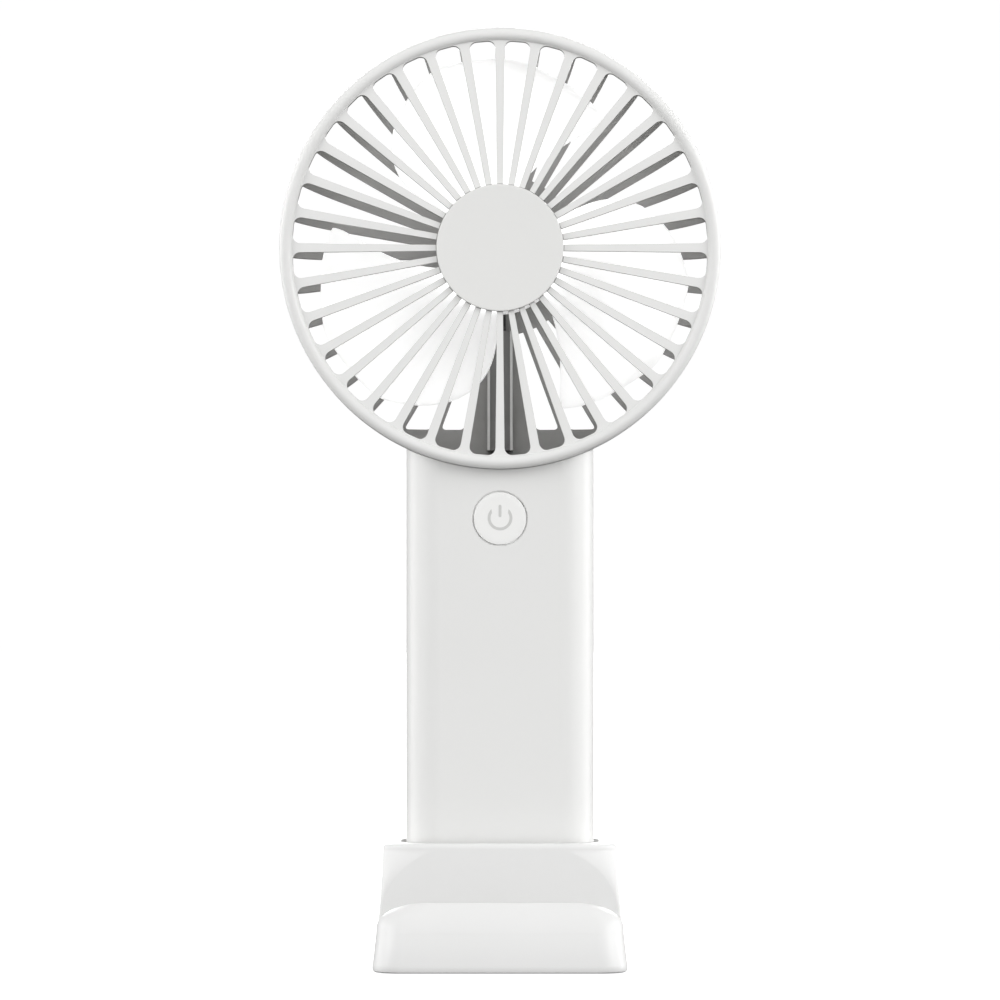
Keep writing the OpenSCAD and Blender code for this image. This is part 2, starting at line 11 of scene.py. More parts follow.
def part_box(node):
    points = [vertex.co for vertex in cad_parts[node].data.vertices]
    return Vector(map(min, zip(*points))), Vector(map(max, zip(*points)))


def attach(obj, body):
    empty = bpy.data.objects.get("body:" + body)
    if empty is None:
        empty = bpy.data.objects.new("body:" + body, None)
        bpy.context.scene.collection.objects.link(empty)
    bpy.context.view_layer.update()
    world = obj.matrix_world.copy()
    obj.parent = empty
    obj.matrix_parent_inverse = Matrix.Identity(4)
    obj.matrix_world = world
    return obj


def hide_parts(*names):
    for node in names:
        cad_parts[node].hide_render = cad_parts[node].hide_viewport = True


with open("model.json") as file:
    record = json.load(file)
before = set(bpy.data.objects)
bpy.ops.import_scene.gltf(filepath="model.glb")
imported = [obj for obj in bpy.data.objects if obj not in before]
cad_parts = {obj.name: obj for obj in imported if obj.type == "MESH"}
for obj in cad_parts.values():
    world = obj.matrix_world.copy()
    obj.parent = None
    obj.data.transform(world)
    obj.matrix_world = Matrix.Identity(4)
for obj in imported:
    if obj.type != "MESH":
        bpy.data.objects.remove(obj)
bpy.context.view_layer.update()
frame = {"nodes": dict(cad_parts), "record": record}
MM = 0.001

# Camera ---------------------------------------------------------------------

bpy.ops.object.camera_add(location=(0, -1.112, 0.0807))
camera = bpy.context.object
camera.name = "camera"
camera.data.sensor_width = 36
camera.data.lens = 176.4
camera.data.clip_start = 0.05
camera.data.clip_end = 60
aim = Vector((0, -0.006, 0.1053)) - camera.location
camera.rotation_euler = aim.to_track_quat("-Z", "Y").to_euler()
bpy.context.scene.camera = camera

# Places taken from the frame ------------------------------------------------

grille_low, grille_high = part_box("front_grille")
head_z = (grille_low.z + grille_high.z) / 2
head_r = (grille_high.z - grille_low.z) / 2 - 0.02 * MM
head_front = -grille_low.y
badge_r = (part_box("center_badge")[1].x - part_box("center_badge")[0].x) / 2
ring_back = -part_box("head_ring")[1].y
bowl_back = -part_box("rear_guard")[1].y
hub_front = -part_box("impeller")[0].y
slot_out_r = head_r - 3 * MM
plate_r = 17.6 * MM
wall = 1.7 * MM
neck_flat = 40.4 * MM
rib_count = 36
rib_root_w = 1.35 * MM
rib_tip_w = 2.1 * MM

handle_low, handle_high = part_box("handle_front_shell")
handle_w = handle_high.x - handle_low.x
handle_front = handle_low.y
handle_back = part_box("handle_rear_shell")[1].y
handle_y = (handle_front + handle_back) / 2
handle_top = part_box("handle_rear_shell")[1].z
handle_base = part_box("handle_bottom_cap")[0].z
handle_edge_r = 8 * MM
half_seam = 0.06 * MM
shell_base = handle_low.z
button_low, button_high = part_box("power_button")
button_z = (button_low.z + button_high.z) / 2
button_r = 6.1 * MM

dock_low, dock_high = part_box("dock_shell")
dock_base = dock_low.z
collar_h = dock_high.z

# Modelling by hand ----------------------------------------------------------


def nothing_selected():
    bpy.ops.object.select_all(action="DESELECT")


def edit(piece):
    nothing_selected()
    piece.select_set(True)
    bpy.context.view_layer.objects.active = piece
    bpy.ops.object.mode_set(mode="EDIT")


def leave():
    bpy.ops.object.mode_set(mode="OBJECT")
    bpy.context.object.select_set(False)


def pick(kind, test):
    """In edit mode, selects the corners, edges or faces for which test(place, direction) holds."""
    bpy.ops.mesh.select_mode(type=kind)
    bpy.ops.mesh.select_all(action="DESELECT")
    mesh = bmesh.from_edit_mesh(bpy.context.object.data)
    mesh.normal_update()
    if kind == "VERT":
        for corner in mesh.verts:
            if test(corner.co, corner.normal):
                corner.select_set(True)
    elif kind == "EDGE":
        for edge in mesh.edges:
            a, b = edge.verts[0].co, edge.verts[1].co
            if test((a + b) / 2, (b - a).normalized()):
                edge.select_set(True)
    else:
        for face in mesh.faces:
            if test(face.calc_center_median(), face.normal):
                face.select_set(True)
    mesh.select_flush_mode()
    bmesh.update_edit_mesh(bpy.context.object.data)


def named(name):
    piece = bpy.context.object
    piece.name = name
    piece.data.name = name
    return piece


def block(name, low, high):
    """A box between two corners, as a start."""
    nothing_selected()
    low, high = Vector(low), Vector(high)
    bpy.ops.mesh.primitive_cube_add(size=1, location=(low + high) / 2)
    bpy.context.object.scale = high - low
    bpy.ops.object.transform_apply(location=True, rotation=True, scale=True)
    return named(name)


def rod(name, r, low, high, sides=64, x=0.0, y=0.0):
    """A cylinder along Z, as a start."""
    nothing_selected()
    bpy.ops.mesh.primitive_cylinder_add(
        vertices=sides, radius=r, depth=high - low, location=(x, y, (low + high) / 2)
    )
    bpy.ops.object.transform_apply(location=True, rotation=True, scale=True)
    return named(name)


def arc(cx, cy, rx, ry, start, end, steps):
    turns = [math.radians(start + (end - start) * i / steps) for i in range(steps + 1)]
    return [(cx + rx * math.cos(t), cy + ry * math.sin(t)) for t in turns]


def outline(points):
    """Draws a line point by point with extrude, from the single corner that a merged plane leaves."""
    nothing_selected()
    bpy.ops.mesh.primitive_plane_add(size=MM)
    bpy.ops.object.mode_set(mode="EDIT")
    bpy.ops.mesh.select_all(action="SELECT")
    bpy.ops.mesh.merge(type="CENTER")
    bpy.ops.mesh.select_mode(type="VERT")
    bpy.ops.mesh.select_all(action="SELECT")
    bpy.ops.transform.translate(value=points[0])
    for before, after in zip(points, points[1:]):
        step = [after[i] - before[i] for i in range(3)]
        bpy.ops.mesh.extrude_vertices_move(TRANSFORM_OT_translate={"value": step})


def turned(name, points, steps=144):
    """A piece of revolution about the head's axis. Its outline is (radius, depth) points."""
    outline([(r, 0, z) for r, z in list(points) + [points[0]]])
    bpy.ops.mesh.select_all(action="SELECT")
    bpy.ops.mesh.remove_doubles(threshold=0.002 * MM)
    bpy.ops.mesh.select_all(action="SELECT")
    bpy.ops.mesh.spin(steps=steps, angle=2 * math.pi, center=(0, 0, 0), axis=(0, 0, 1))
    bpy.ops.mesh.select_all(action="SELECT")
    bpy.ops.mesh.remove_doubles(threshold=0.002 * MM)
    bpy.ops.mesh.select_all(action="SELECT")
    bpy.ops.mesh.normals_make_consistent(inside=False)
    bpy.ops.object.mode_set(mode="OBJECT")
    return named(name)


def raised(name, points, low, high):
    """A flat outline in X and Y, filled and pulled up from one height to another."""
    outline([(x, y, low) for x, y in list(points) + [points[0]]])
    bpy.ops.mesh.select_all(action="SELECT")
    bpy.ops.mesh.remove_doubles(threshold=0.002 * MM)
    bpy.ops.mesh.select_all(action="SELECT")
    bpy.ops.mesh.edge_face_add()
    bpy.ops.mesh.extrude_region_move(TRANSFORM_OT_translate={"value": (0, 0, high - low)})
    bpy.ops.mesh.select_all(action="SELECT")
    bpy.ops.mesh.normals_make_consistent(inside=False)
    bpy.ops.object.mode_set(mode="OBJECT")
    return named(name)


def lofted(name, levels):
    """A closed solid through outlines at rising heights: each level is (height, [(x, y), ...])."""
    base, plan_points = levels[0]
    outline([(x, y, base) for x, y in plan_points + plan_points[:1]])
    bpy.ops.mesh.select_all(action="SELECT")
    bpy.ops.mesh.remove_doubles(threshold=0.0005 * MM)
    bpy.ops.mesh.select_all(action="SELECT")
    bpy.ops.mesh.edge_face_add()
    for (z_before, before), (z_after, after) in zip(levels, levels[1:]):
        bpy.ops.mesh.extrude_region_move(TRANSFORM_OT_translate={"value": (0, 0, z_after - z_before)})
        mesh = bmesh.from_edit_mesh(bpy.context.object.data)
        places = [Vector((x, y, z_after)) for x, y in before]
        for corner in [c for c in mesh.verts if c.select]:
            nearest = min(range(len(places)), key=lambda i: (places[i] - corner.co).length)
            corner.co = Vector((*after[nearest], z_after))
        bmesh.update_edit_mesh(bpy.context.object.data)
    bpy.ops.mesh.select_all(action="SELECT")
    bpy.ops.mesh.normals_make_consistent(inside=False)
    bpy.ops.object.mode_set(mode="OBJECT")
    return named(name)


def copied(piece, matrix):
    twin = piece.copy()
    twin.data = piece.data.copy()
    bpy.context.scene.collection.objects.link(twin)
    twin.data.transform(matrix)
    return twin


def joined(name, pieces):
    nothing_selected()
    for piece in pieces:
        piece.select_set(True)
    bpy.context.view_layer.objects.active = pieces[0]
    if len(pieces) > 1:
        bpy.ops.object.join()
    return named(name)


def around(name, piece, turns):
    """Copies of a piece turned about the head's axis by each angle, in one piece."""
    copies = [copied(piece, Matrix.Rotation(math.radians(t), 4, "Z")) for t in turns]
    bpy.data.objects.remove(piece)
    return joined(name, copies)


def applied(piece, kind, **settings):
    """Adds a modifier with these settings and applies it."""
    nothing_selected()
    piece.select_set(True)
    bpy.context.view_layer.objects.active = piece
    modifier = piece.modifiers.new(kind.lower(), kind)
    for key, value in settings.items():
        setattr(modifier, key, value)
    bpy.ops.object.modifier_apply(modifier=modifier.name)
    return piece


def cut(piece, *tools):
    for tool in tools:
        applied(piece, "BOOLEAN", operation="DIFFERENCE", object=tool, solver="EXACT")
        bpy.data.objects.remove(tool)
    return piece


def fused(piece, *others):
    for other in others:
        applied(piece, "BOOLEAN", operation="UNION", object=other, solver="EXACT")
        bpy.data.objects.remove(other)
    return piece


def eased(piece, width, segments=3, angle=40):
    """Rounds the sharp edges."""
    return applied(
        piece,
        "BEVEL",
        width=width,
        segments=segments,
        limit_method="ANGLE",
        angle_limit=math.radians(angle),
        miter_outer="MITER_ARC",
        use_clamp_overlap=True,
    )


def smooth(piece, angle=35):
    nothing_selected()
    piece.select_set(True)
    bpy.context.view_layer.objects.active = piece
    bpy.ops.object.shade_smooth_by_angle(angle=math.radians(angle))
    return piece


def on_head(piece):
    """Puts a piece made face-on, with its front towards +Z, on the head's axis."""
    piece.data.transform(Matrix.Translation((0, 0, head_z)) @ Matrix.Rotation(math.radians(90), 4, "X"))
    return piece


def finished(piece, body, material, slot_name, *nodes, angle=35):
    smooth(piece, angle)
    applied(piece, "WEIGHTED_NORMAL", keep_sharp=True, weight=100)
    piece.data.materials.clear()
    piece.data.materials.append(material)
    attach(piece, body)
    if nodes:
        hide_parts(*nodes)
    return piece


# Materials ------------------------------------------------------------------


class Value:
    """A shader socket that can be used in sums."""

    def __init__(self, finish, socket):
        self.finish = finish
        self.socket = socket

    def _math(self, operation, other):
        return self.finish.node("ShaderNodeMath", {"operation": operation}, self, other)[0]

    def __add__(self, other):
        return self._math("ADD", other)

    def __mul__(self, other):
        return self._math("MULTIPLY", other)

    def power(self, other):
        return self._math("POWER", other)


class Outputs:
    """The outputs of a node, looked up by name or number."""

    def __init__(self, finish, made):
        self.finish = finish
        self.made = made

    def __getitem__(self, key):
        return Value(self.finish, self.made.outputs[key])


class Finish:
    """A material built node by node around one Principled shader."""

    def __init__(self, name, **constants):
        self.material = bpy.data.materials.new(name)
        self.material.use_nodes = True
        self.tree = self.material.node_tree
        self.tree.nodes.clear()
        self.shader = self.tree.nodes.new("ShaderNodeBsdfPrincipled")
        output = self.tree.nodes.new("ShaderNodeOutputMaterial")
        self.tree.links.new(self.shader.outputs["BSDF"], output.inputs["Surface"])
        for key, value in constants.items():
            self.shader.inputs[key.replace("_", " ")].default_value = value
        self.place = self.node("ShaderNodeTexCoord", {})["Object"]

    def node(self, kind, settings, *values, **inputs):
        """Adds a node with its settings and the values or links of its sockets; returns its outputs."""
        made = self.tree.nodes.new(kind)
        for key, value in settings.items():
            if key == "stops":
                ramp = made.color_ramp
                while len(ramp.elements) < len(value):
                    ramp.elements.new(1)
                for element, (position, colour) in zip(ramp.elements, value):
                    element.position = position
                    element.color = (*colour, 1) if len(colour) == 3 else colour
            else:
                setattr(made, key, value)
        pairs = list(zip(made.inputs, values)) + [
            (made.inputs[int(k[1:])] if k[1:].isdigit() else made.inputs[k.replace("_", " ")], v)
            for k, v in inputs.items()
        ]
        for socket, value in pairs:
            source = value.socket if isinstance(value, Value) else value
            if isinstance(source, bpy.types.NodeSocket):
                self.tree.links.new(source, socket)
            else:
                socket.default_value = source
        return Outputs(self, made)

    def noise(self, scale, detail=3, rough=0.5):
        return self.node(
            "ShaderNodeTexNoise", {}, Vector=self.place, Scale=scale, Detail=detail, Roughness=rough
        )["Fac"]

    def mix(self, factor, first, second):
        return self.node("ShaderNodeMix", {"data_type": "RGBA"}, _0=factor, _6=first, _7=second)[2]

    def feed(self, socket, value):
        self.tree.links.new(value.socket, self.shader.inputs[socket])

    def bump(self, height, distance, strength=1.0):
        normal = self.node("ShaderNodeBump", {}, Strength=strength, Distance=distance, Height=height)
        self.feed("Normal", normal["Normal"])


def moulded_plastic(name, light, dark, rough, grain=2600, depth=0.012, painted_shade=None):
    """Injection-moulded plastic: fine spark-eroded grain, slow tone drift and slight sheen change.

    With a shade colour, the faces that turn away from the front take it: painted shade between close ribs.
    """
    finish = Finish(name, IOR=1.46)
    drift = finish.noise(38, 2)
    speck = finish.noise(900, 2)
    colour = finish.mix(drift * 0.7 + speck * 0.3, (*dark, 1), (*light, 1))
    # painted shade: the less a face looks to the front, the more it takes the shade colour
    if painted_shade:
        turned_to = finish.node("ShaderNodeTexCoord", {})["Normal"]
        depth_part = finish.node("ShaderNodeSeparateXYZ", {}, turned_to)["Y"]
        colour = finish.mix((depth_part * depth_part).power(1.6), (*painted_shade, 1), colour)
    finish.feed("Base Color", colour)
    finish.feed("Roughness", drift * 0.08 + speck * 0.06 + (rough - 0.07))
    finish.bump(finish.noise(grain, 3, 0.6), depth * MM, 0.55)
    return finish.material


white_shell = moulded_plastic("satin_white_shell", (0.74, 0.74, 0.732), (0.71, 0.71, 0.7), 0.42)
white_head = moulded_plastic("satin_white_head", (0.74, 0.74, 0.732), (0.71, 0.71, 0.7), 0.36)
# The ribs' sides take a dark grey: painted shade between the ribs.
white_ribs_shaded = moulded_plastic(
    "satin_white_ribs", (0.75, 0.75, 0.742), (0.72, 0.72, 0.71), 0.36, painted_shade=(0.27, 0.27, 0.26)
)
white_dock = moulded_plastic("satin_white_dock", (0.735, 0.735, 0.73), (0.705, 0.705, 0.7), 0.4)
white_badge = moulded_plastic("satin_white_badge", (0.74, 0.74, 0.725), (0.7, 0.7, 0.69), 0.4, 1800)
glowing_white_blade = moulded_plastic("glossy_white_blade", (0.93, 0.93, 0.93), (0.91, 0.91, 0.91), 0.3, 1200, 0.006)
# The blades' constant glow is painted light that keeps them bright white; the subsurface lets light through
# the thin plastic.
for socket, value in {
    "Subsurface Weight": 1.0,
    "Subsurface Radius": (1, 1, 1),
    "Subsurface Scale": 0.004,
    "Emission Color": (1, 1, 1, 1),
    "Emission Strength": 0.4,
}.items():
    glowing_white_blade.node_tree.nodes["Principled BSDF"].inputs[socket].default_value = value
white_button = moulded_plastic("satin_white_button", (0.82, 0.82, 0.81), (0.78, 0.78, 0.77), 0.38)
# The rear guard's grey is painted shade: it stands in for the shade inside the head behind the blades.
grey_guard_shaded = moulded_plastic("grey_guard_plastic", (0.34, 0.337, 0.33), (0.29, 0.287, 0.28), 0.5, 2200, 0.02)
# The wire duct's darker grey is painted shade, deeper in the head's neck.
dark_duct_shaded = moulded_plastic("dark_duct_plastic", (0.2, 0.198, 0.195), (0.17, 0.168, 0.165), 0.5, 2200, 0.02)
# The duct's edges take a light grey: painted highlight along them.
duct_edge_highlight = moulded_plastic("duct_edge_plastic", (0.66, 0.66, 0.65), (0.6, 0.6, 0.59), 0.45, 2200, 0.02)
symbol_ink = moulded_plastic("grey_symbol_ink", (0.58, 0.58, 0.57), (0.54, 0.54, 0.53), 0.5)
black_part = moulded_plastic("black_moulding", (0.03, 0.03, 0.03), (0.02, 0.02, 0.02), 0.45)

# Head -----------------------------------------------------------------------

pitch = 360 / rib_count
half_pitch = math.radians(pitch / 2)


def slot_half(r, rib):
    """Half width of an opening at a radius, between ribs of this width."""
    return r * math.tan(half_pitch) - rib / 2 / math.cos(half_pitch)


def slot_tool(inner, outer, rib_inner, rib_outer, corner, back, front):
    """Cutter for one opening, lying along +Y: a plane narrowed to a wedge, with its outer corners rounded."""
    nothing_selected()
    bpy.ops.mesh.primitive_plane_add(size=1)
    piece = named("slot_tool")
    edit(piece)
    pick("VERT", lambda at, to: True)
    bpy.ops.transform.resize(value=(1, outer - inner, 1))
    bpy.ops.transform.translate(value=(0, (outer + inner) / 2, back))
    for end, rib in ((inner, rib_inner), (outer, rib_outer)):
        pick("VERT", lambda at, to: abs(at.y - end) < 0.01 * MM)
        bpy.ops.transform.resize(value=(2 * slot_half(end, rib), 1, 1))
    bpy.ops.mesh.bevel(offset=corner, segments=6, affect="VERTICES")
    bpy.ops.mesh.select_all(action="SELECT")
    bpy.ops.mesh.extrude_region_move(TRANSFORM_OT_translate={"value": (0, 0, front - back)})
    bpy.ops.mesh.select_all(action="SELECT")
    bpy.ops.mesh.normals_make_consistent(inside=False)
    leave()
    return piece


slot_turns = [(i + 0.5) * pitch for i in range(rib_count)]

web_front = head_front - MM
web_back = web_front - 2 * MM
web = rod("grille_web", slot_out_r + 0.9 * MM, web_back, web_front, 216)
slots = around(
    "grille_slots",
    slot_tool(13.9 * MM, slot_out_r, rib_root_w, rib_tip_w, 1.8 * MM, web_back - MM, web_front + MM),
    slot_turns,
)
seat = rod("badge_seat", badge_r + 0.12 * MM, web_front - 0.75 * MM, web_front + MM, 96)
cut(web, slots, seat)
eased(web, 0.64 * MM, 4, 55)

# Its rim: a round bead in front, and behind it the wall that meets the head ring
bead = 1.5 * MM
rim_in = 1.45 * MM
rim = turned(
    "front_grille_rim",
    [(head_r - bead - rim_in, web_back), (head_r - bead - rim_in, head_front - bead)]
    + arc(head_r - bead, head_front - bead, -rim_in, bead, 0, 90, 8)[1:]
    + arc(head_r - bead, head_front - bead, bead, bead, 90, 0, 10)[1:]
    + [
        (head_r, 0.15 * MM),
        (head_r - 0.15 * MM, 0),
        (head_r - wall, 0),
        (head_r - wall, web_back - MM),
    ],
    216,
)
web.name = "front_grille_shaped"
finished(on_head(web), "fan", white_ribs_shaded, "head_plastic", "front_grille")
finished(on_head(rim), "fan", white_head, "head_plastic")

badge = rod("center_badge_shaped", badge_r, web_front - 0.7 * MM, head_front, 128)
eased(badge, 0.28 * MM, 3)
edit(badge)
pick("FACE", lambda at, to: to.z > 0.99)
bpy.ops.mesh.inset(thickness=0.9 * MM)
bpy.ops.mesh.inset(thickness=0.5 * MM, depth=-0.04 * MM)
leave()
finished(on_head(badge), "fan", white_badge, "badge_plastic", "center_badge", angle=20)

side_wall = turned(
    "head_ring_shaped",
    [
        (head_r - wall, ring_back),
        (head_r - wall, -0.02 * MM),
        (head_r - 0.18 * MM, -0.02 * MM),
        (head_r, -0.2 * MM),
        (head_r, ring_back + 0.2 * MM),
        (head_r - 0.18 * MM, ring_back),
    ],
    216,
)
finished(on_head(side_wall), "fan", white_head, "head_plastic", "head_ring")

# Rear guard: a bowl with the same openings, left whole below for the wire duct
bowl_flat = 38 * MM
bowl_depth = ring_back - bowl_back
bowl = turned(
    "rear_guard_bowl",
    [(0, bowl_back + 2 * MM), (plate_r, bowl_back + 2 * MM), (bowl_flat, bowl_back + 2 * MM)]
    + arc(bowl_flat, ring_back, head_r - wall - bowl_flat, bowl_depth - 2 * MM, -90, 0, 16)[1:]
    + arc(bowl_flat, ring_back, head_r - 0.4 * MM - bowl_flat, bowl_depth, 0, -90, 16)
    + [(plate_r, bowl_back), (0, bowl_back)],
    160,
)
guard_slots = around(
    "guard_slots",
    slot_tool(plate_r + MM, head_r + 4 * MM, rib_tip_w, rib_tip_w, MM, bowl_back - MM, ring_back - 1.5 * MM),
    [t for t in slot_turns if abs(t - 180) > pitch],
)
edit(guard_slots)
bpy.ops.mesh.select_all(action="SELECT")
bpy.ops.mesh.bisect(plane_co=(0, -neck_flat, 0), plane_no=(0, -1, 0), use_fill=True, clear_outer=True)
pick("EDGE", lambda at, to: abs(to.z) > 0.99 and abs(at.y + neck_flat) < 0.01 * MM and abs(at.x) < 34 * MM)
bpy.ops.mesh.bevel(offset=1.1 * MM, segments=4, affect="EDGES")
leave()
cut(bowl, guard_slots)
eased(bowl, 0.3 * MM, 2, 50)
on_head(bowl)
neck = block(
    "guard_neck", (-17 * MM, 6.2 * MM, 109 * MM), (17 * MM, 19.3 * MM, head_z - neck_flat - 0.6 * MM)
)
hollow = turned(
    "neck_hollow",
    [(0, 20 * MM), (head_r + MM, 20 * MM), (head_r + MM, ring_back)]
    + arc(bowl_flat, ring_back, head_r - MM - bowl_flat, bowl_depth - MM, 0, -90, 16)
    + [(0, bowl_back + MM)],
)
cut(neck, on_head(hollow))
guard = joined("rear_guard_shaped", [bowl, neck])
# The guard's grey is painted shade inside the head.
finished(guard, "fan", grey_guard_shaded, "guard_plastic", "rear_guard")

# Wire duct: a strip that follows the bowl down from the motor plate, between two raised edges. The strip's
# dark grey is painted shade and the edges' light grey is painted highlight.
duct_end = head_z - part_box("wire_duct_cover")[0].z
duct_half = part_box("wire_duct_cover")[1].x


def duct_part(name, rise, low, high):
    """A strip of the duct, between two places across, that stands this high on the bowl's inner face."""
    reach = head_r - wall - bowl_flat
    drop = bowl_depth - 2 * MM

    def curve(margin):
        bend = arc(bowl_flat, ring_back, reach - margin, drop - margin, -90, 0, 24)
        inside = [point for point in bend if point[0] < duct_end]
        (r_a, z_a), (r_b, z_b) = inside[-1], bend[len(inside)]
        part = (duct_end - r_a) / (r_b - r_a)
        return [(plate_r, bowl_back + 2 * MM + margin)] + inside + [(duct_end, z_a + part * (z_b - z_a))]

    piece = raised(name, curve(0.02 * MM) + curve(rise)[::-1], low, high)
    piece.data.transform(Matrix(((0, 0, -1, 0), (-1, 0, 0, 0), (0, 1, 0, 0), (0, 0, 0, 1))))
    return on_head(piece)


duct = duct_part("wire_duct_shaped", 2.2 * MM, 0.55 * MM - duct_half, duct_half - 0.55 * MM)
finished(duct, "fan", dark_duct_shaded, "guard_plastic", "wire_duct_cover")
edges = [
    duct_part("duct_edge_highlight", 2.6 * MM, low, low + 0.6 * MM) for low in (-duct_half, duct_half - 0.6 * MM)
]
finished(joined("wire_duct_edges", edges), "fan", duct_edge_highlight, "guard_plastic")

# Impeller -------------------------------------------------------------------


def front_edge(r):
    return 170 + 26 * max(0, (40 - r) / 26) ** 1.3 + 34 * max(0, (r - 37.5) / 6.3) ** 2


def rear_edge(r):
    return 268.5 - 38 * max(0, (r - 14) / 29.8) ** 3


def blade_point(across, out):
    """Place on the blade's middle surface: across from its leading edge, out from the hub."""
    r = 13.6 + (43.7 - 13.6) * out
    a = math.radians(front_edge(r) + (rear_edge(r) - front_edge(r)) * across)
    rise = 9.6 * (across + 0.18 * math.sin(math.pi * across)) * (1 - 0.2 * (r - 14) / 30)
    z = -9.2 + rise + 2 * (r - 14) / 30 * (1 - across)
    return Vector((r * math.cos(a), r * math.sin(a), z)) * MM


nothing_selected()
bpy.ops.mesh.primitive_grid_add(x_subdivisions=12, y_subdivisions=12, size=1)
blade = named("blade")
edit(blade)
mesh = bmesh.from_edit_mesh(blade.data)
for corner in mesh.verts:
    corner.co = blade_point(corner.co.x + 0.5, corner.co.y + 0.5)
bmesh.update_edit_mesh(blade.data)
bpy.ops.mesh.select_all(action="SELECT")
bpy.ops.mesh.normals_make_consistent(inside=False)
leave()
applied(blade, "SOLIDIFY", thickness=1.15 * MM, offset=0)
eased(blade, 0.35 * MM, 2, 50)
applied(blade, "SUBSURF", levels=1, render_levels=1)
blades = around("blades", blade, [0, 120, 240])
hub = turned(
    "hub",
    [(0, hub_front), (12.6 * MM, hub_front)]
    + arc(12.6 * MM, hub_front - 1.6 * MM, 1.6 * MM, 1.6 * MM, 90, 0, 6)[1:]
    + [(14.2 * MM, -10.8 * MM), (12.9 * MM, -10.8 * MM), (12.9 * MM, -0.6 * MM), (0, -0.6 * MM)],
    96,
)
impeller = joined("impeller_shaped", [hub, blades])
finished(on_head(impeller), "impeller", glowing_white_blade, "blade_plastic", "impeller", angle=50)

# Handle ---------------------------------------------------------------------


def handle_half(name, front):
    """One shell of the handle: a block with round upright edges, halved along the seam and given its wall."""
    piece = block(
        name, (-handle_w / 2, handle_front, shell_base), (handle_w / 2, handle_back, handle_top)
    )
    edit(piece)
    pick("EDGE", lambda at, to: abs(to.z) > 0.99)
    bpy.ops.mesh.bevel(offset=handle_edge_r, segments=14, affect="EDGES")
    pick("FACE", lambda at, to: abs(to.z) > 0.99)
    bpy.ops.mesh.delete(type="FACE")
    bpy.ops.mesh.select_all(action="SELECT")
    seam_y = handle_y + (-half_seam if front else half_seam)
    bpy.ops.mesh.bisect(
        plane_co=(0, seam_y, 0), plane_no=(0, 1, 0), clear_outer=front, clear_inner=not front
    )
    leave()
    applied(piece, "SOLIDIFY", thickness=2 * MM, offset=-1, use_even_offset=True)
    return piece


def head_space():
    """The room that the head takes out of the handle's top."""
    return on_head(turned(
        "head_space",
        [(0, 12 * MM), (head_r + 0.1 * MM, 12 * MM), (head_r + 0.1 * MM, ring_back - 0.1 * MM)]
        + arc(bowl_flat, ring_back, head_r - 0.3 * MM - bowl_flat, bowl_depth + 0.1 * MM, 0, -90, 20)
        + [(0, bowl_back - 0.1 * MM)],
        180,
    ))


def across(piece, x, z, low, high):
    """Turns a rod made along Z so that it lies along Y through (x, z)."""
    piece.data.transform(
        Matrix.Translation((x, (low + high) / 2, z)) @ Matrix.Rotation(math.radians(90), 4, "X")
    )
    return piece


def rod_y(name, r, x, z, low, high, sides=64):
    return across(rod(name, r, -(high - low) / 2, (high - low) / 2, sides), x, z, low, high)


front_shell = handle_half("handle_front_shaped", True)
cut(
    front_shell,
    head_space(),
    rod_y("button_hole", button_r + 0.2 * MM, 0, button_z, handle_front - 2 * MM, handle_front + 4 * MM, 96),
)
eased(front_shell, 0.18 * MM, 2, 50)
finished(front_shell, "fan", white_shell, "handle_plastic", "handle_front_shell")

rear_shell = handle_half("handle_rear_shaped", False)
port_z = (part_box("charging_socket")[0].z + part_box("charging_socket")[1].z) / 2
port_half = (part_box("charging_socket")[1].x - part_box("charging_socket")[0].x) / 2
port_r = (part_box("charging_socket")[1].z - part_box("charging_socket")[0].z) / 2
port_gap = 0.25 * MM
port = block(
    "port_hole",
    (-port_half - port_gap, handle_back - 4 * MM, port_z - port_r - port_gap),
    (port_half + port_gap, handle_back + 2 * MM, port_z + port_r + port_gap),
)
edit(port)
pick("EDGE", lambda at, to: abs(to.y) > 0.99)
bpy.ops.mesh.bevel(offset=port_r + 0.24 * MM, segments=8, affect="EDGES")
leave()
screw_places = [(s * x * MM, z * MM) for s in (-1, 1) for x, z in ((13.3, 82.3), (12, 113))]
light_x = (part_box("charge_light")[0].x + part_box("charge_light")[1].x) / 2
cut(
    rear_shell,
    head_space(),
    port,
    rod_y("light_hole", 0.9 * MM, light_x, port_z, handle_back - 4 * MM, handle_back + MM, 32),
)
for x, z in screw_places:
    cut(rear_shell, rod_y("screw_hole", 2.1 * MM, x, z, handle_back - 1.6 * MM, handle_back + MM, 48))
eased(rear_shell, 0.18 * MM, 2, 50)
finished(rear_shell, "fan", white_shell, "handle_plastic", "handle_rear_shell")

# Power button ---------------------------------------------------------------

button = rod_y(
    "power_button_shaped", button_r - 0.15 * MM, 0, button_z, handle_front, handle_front + 2.3 * MM, 96
)
skirt = rod_y(
    "button_skirt", button_r + 0.12 * MM, 0, button_z, handle_front + 0.45 * MM, handle_front + 1.2 * MM, 96
)
fused(button, skirt)
eased(button, 0.2 * MM, 3)
edit(button)
pick("FACE", lambda at, to: to.y < -0.99)
bpy.ops.mesh.inset(thickness=1.2 * MM)
bpy.ops.mesh.inset(thickness=1.2 * MM, depth=-0.05 * MM)
leave()
finished(button, "button", white_button, "button_plastic", "power_button", angle=20)

